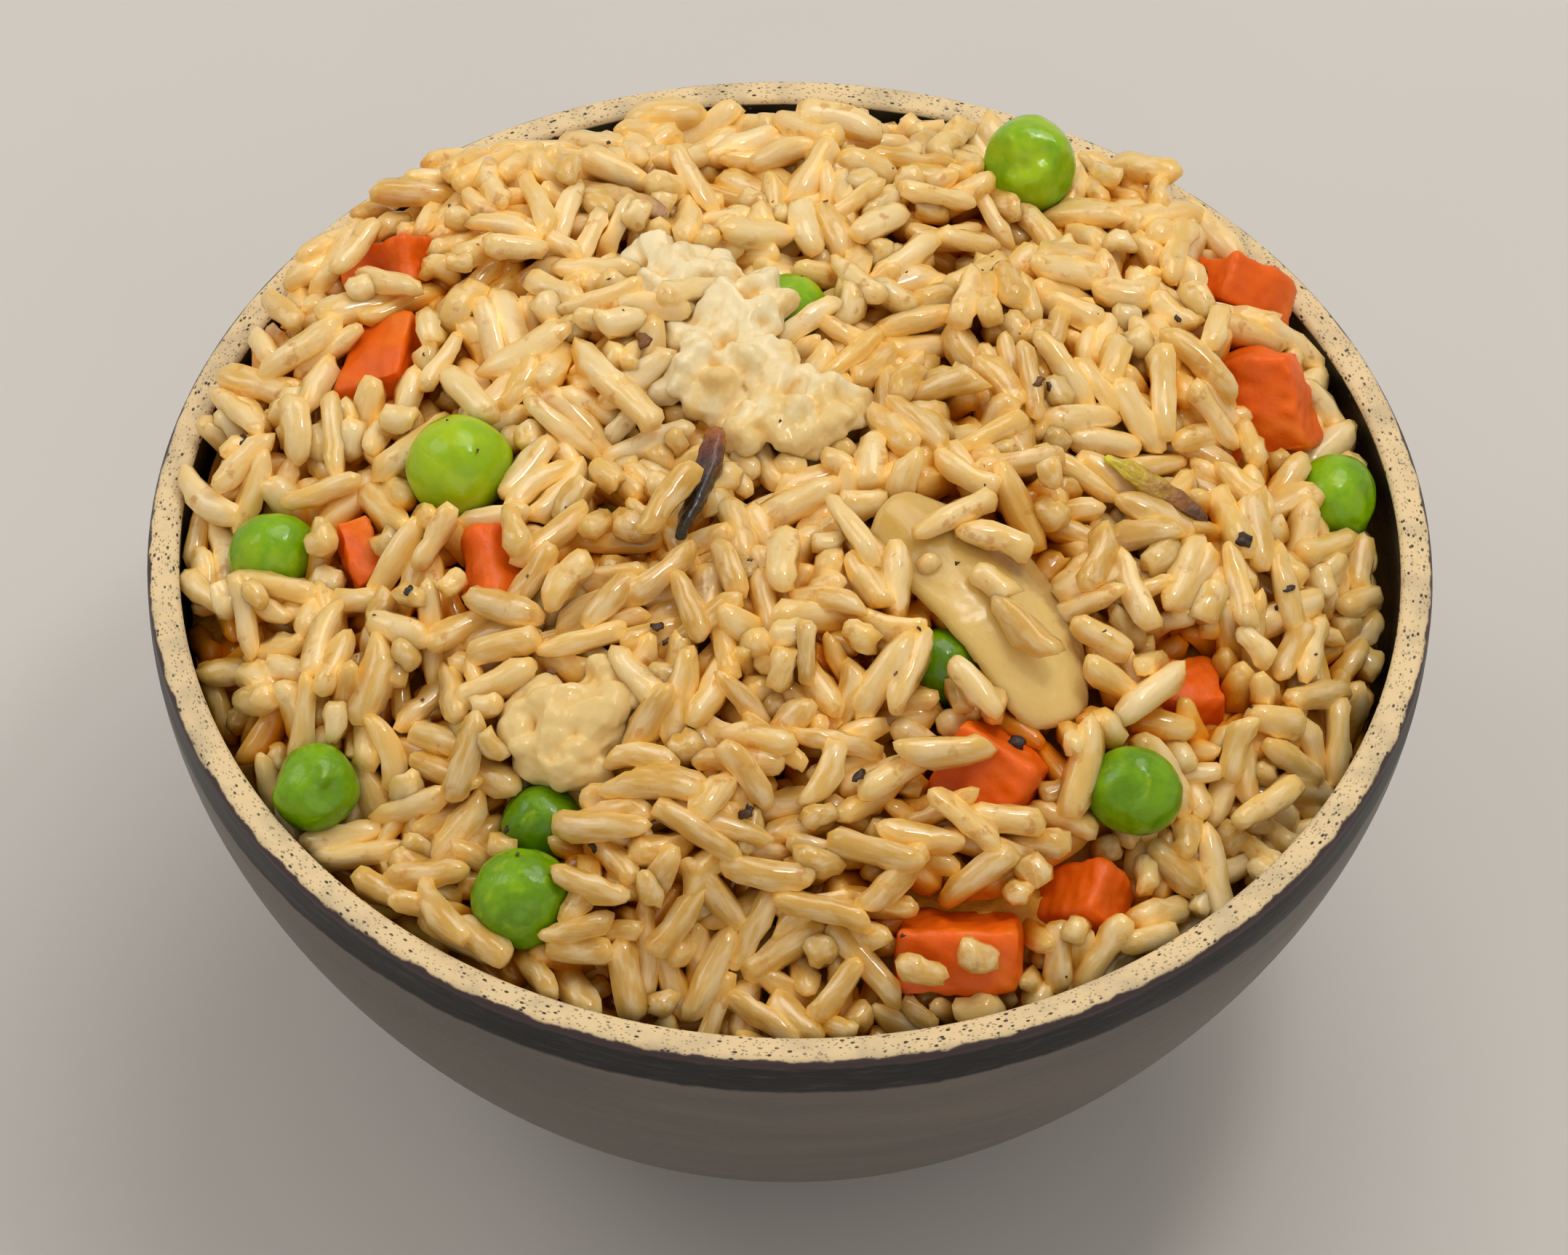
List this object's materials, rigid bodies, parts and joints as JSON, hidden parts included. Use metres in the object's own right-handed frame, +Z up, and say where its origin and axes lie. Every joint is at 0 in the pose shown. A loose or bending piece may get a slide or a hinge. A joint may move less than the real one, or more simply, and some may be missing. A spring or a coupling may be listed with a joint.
{
  "type": "bowl of fried rice",
  "caption": "Small round stoneware rice bowl on a foot ring, heaped with fried rice with peas, diced carrot, onion and browned bits.",
  "frame": {"origin": "middle of the foot ring's underside, on the table, which is the middle of the box's bottom", "axes": "+Z up through the bowl's axis; the shown view looks from -Y, slightly down, with +X to the right"},
  "size_m": [0.115, 0.115, 0.0754],
  "materials": {
    "stoneware": "satin charcoal glaze, pale bare rim with fine dark specks",
    "rice": "moist cooked rice, tan",
    "pea": "glossy green skin",
    "carrot": "moist orange",
    "onion": "translucent, lightly browned",
    "char": "dark, sticky",
    "scallion": "wilted, yellow-green to brown",
    "onion_skin": "browned, thin",
    "pale_clump": "creamy, moist"
  },
  "bodies": {
    "root": {"bowl": "stoneware", "rice": "rice", "pea_01": "pea", "pea_02": "pea", "pea_03": "pea", "pea_04": "pea", "pea_05": "pea", "pea_06": "pea", "pea_07": "pea", "pea_08": "pea", "pea_09": "pea", "pea_10": "pea", "carrot_01": "carrot", "carrot_02": "carrot", "carrot_03": "carrot", "carrot_04": "carrot", "carrot_05": "carrot", "carrot_06": "carrot", "carrot_07": "carrot", "carrot_08": "carrot", "carrot_09": "carrot", "carrot_10": "carrot", "onion_slice": "onion", "charred_strip": "char", "scallion_strip": "scallion", "onion_skin_strip": "onion_skin", "pale_clump_large": "pale_clump", "pale_clump_small": "pale_clump"}
  },
  "joints": []
}
